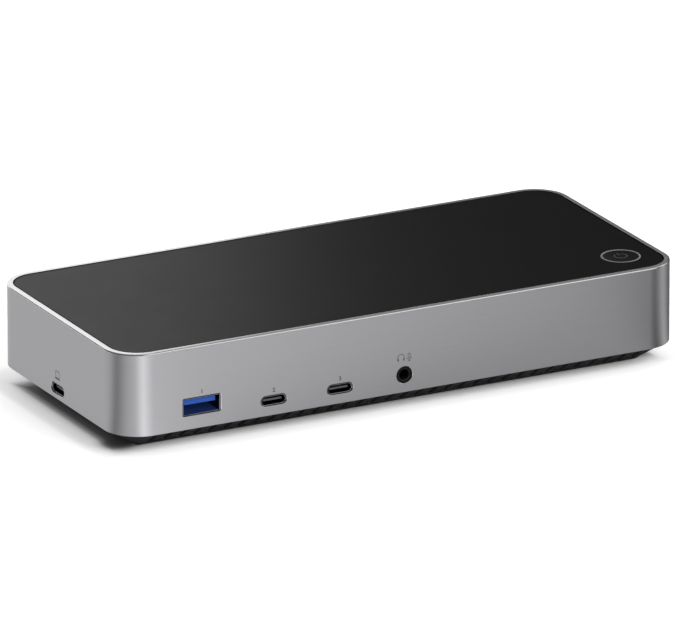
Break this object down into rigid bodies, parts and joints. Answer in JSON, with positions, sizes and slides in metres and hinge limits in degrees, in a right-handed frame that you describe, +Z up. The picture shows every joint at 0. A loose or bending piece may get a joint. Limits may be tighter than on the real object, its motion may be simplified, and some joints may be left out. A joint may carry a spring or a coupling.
{
  "type": "laptop docking station",
  "caption": "Flat aluminium docking station with a black top panel, round power button, front and rear sockets and a sloping vented base.",
  "frame": {"origin": "middle of the footprint on the table, under the middle of the housing", "axes": "+X to the right along the front, +Y from the front to the back, +Z up"},
  "size_m": [0.2, 0.0892, 0.0345],
  "materials": {
    "satin_aluminium": "bead-blasted and finely brushed, space grey, satin",
    "black_panel": "satin black, fine grain",
    "black_base": "matt moulded",
    "rubber_feet": "matt",
    "dark_screws": "black zinc",
    "bright_screws": "bright zinc",
    "green_board": "solder mask over fibreglass",
    "black_button": "satin black",
    "light_guide": "frosted clear plastic",
    "black_moulding": "moulded",
    "red_plunger": "moulded",
    "gilt_contacts": "gold plated",
    "led_white": "clear resin",
    "ribbon_film": "film over tinned conductors",
    "ivory_sockets": "moulded",
    "thermal_pad": "soft pad",
    "sink_aluminium": "extruded, clear anodised",
    "chip_black": "epoxy",
    "inductor_grey": "pressed powder",
    "capacitor_can": "drawn can",
    "socket_steel": "nickel plated sheet",
    "blue_tongue": "moulded"
  },
  "bodies": {
    "dock": {"housing": "satin_aluminium", "deck_frame": "black_moulding", "top_panel": "black_panel", "base_cover": "black_base", "foot_front": "rubber_feet", "foot_rear": "rubber_feet", "base_screws": "dark_screws", "main_board": "green_board", "front_board": "green_board", "board_screws": "bright_screws", "button_light_ring": "light_guide", "button_board": "green_board", "button_board_screws": "bright_screws", "switch_body": "black_moulding", "switch_dome": "gilt_contacts", "ring_leds": "led_white", "button_ribbon": "ribbon_film", "button_ribbon_sockets": "ivory_sockets", "link_ribbon": "ribbon_film", "link_sockets": "ivory_sockets", "front_type_a_shell": "socket_steel", "front_type_a_tongue": "blue_tongue", "front_type_a_contacts": "gilt_contacts", "front_type_c_1_shell": "socket_steel", "front_type_c_1_tongue": "black_moulding", "front_type_c_2_shell": "socket_steel", "front_type_c_2_tongue": "black_moulding", "host_type_c_shell": "socket_steel", "host_type_c_tongue": "black_moulding", "audio_jack_body": "black_moulding", "audio_jack_tabs": "socket_steel", "power_inlet_body": "black_moulding", "power_inlet_pin": "socket_steel", "network_jack_shield": "socket_steel", "network_jack_insert": "black_moulding", "network_jack_contacts": "gilt_contacts", "rear_type_a_1_shell": "socket_steel", "rear_type_a_1_tongue": "blue_tongue", "rear_type_a_2_shell": "socket_steel", "rear_type_a_2_tongue": "blue_tongue", "video_port_1_shell": "socket_steel", "video_port_1_tongue": "black_moulding", "video_port_2_shell": "socket_steel", "video_port_2_tongue": "black_moulding", "screen_port_1_shell": "socket_steel", "screen_port_1_tongue": "black_moulding", "screen_port_2_shell": "socket_steel", "screen_port_2_tongue": "black_moulding", "main_chip": "chip_black", "thermal_pad": "thermal_pad", "heat_sink": "sink_aluminium", "small_chips": "chip_black", "network_transformer": "chip_black", "power_inductors": "inductor_grey", "capacitors": "capacitor_can"},
    "power_button": {"button_cap": "black_button"},
    "switch_plunger": {"switch_plunger": "red_plunger"}
  },
  "joints": [
    {"name": "power_button_press", "type": "slide", "parent": "dock", "child": "power_button", "axis": [0, 0, -1], "range_m": [0, 0.0005], "stiffness_N_per_m": 2000},
    {"name": "switch_plunger_press", "type": "slide", "parent": "dock", "child": "switch_plunger", "axis": [0, 0, -1], "range_m": [0, 0.0005]}
  ],
  "couplings": [
    {"joint": "switch_plunger_press", "follows": "power_button_press", "ratio": 1}
  ]
}
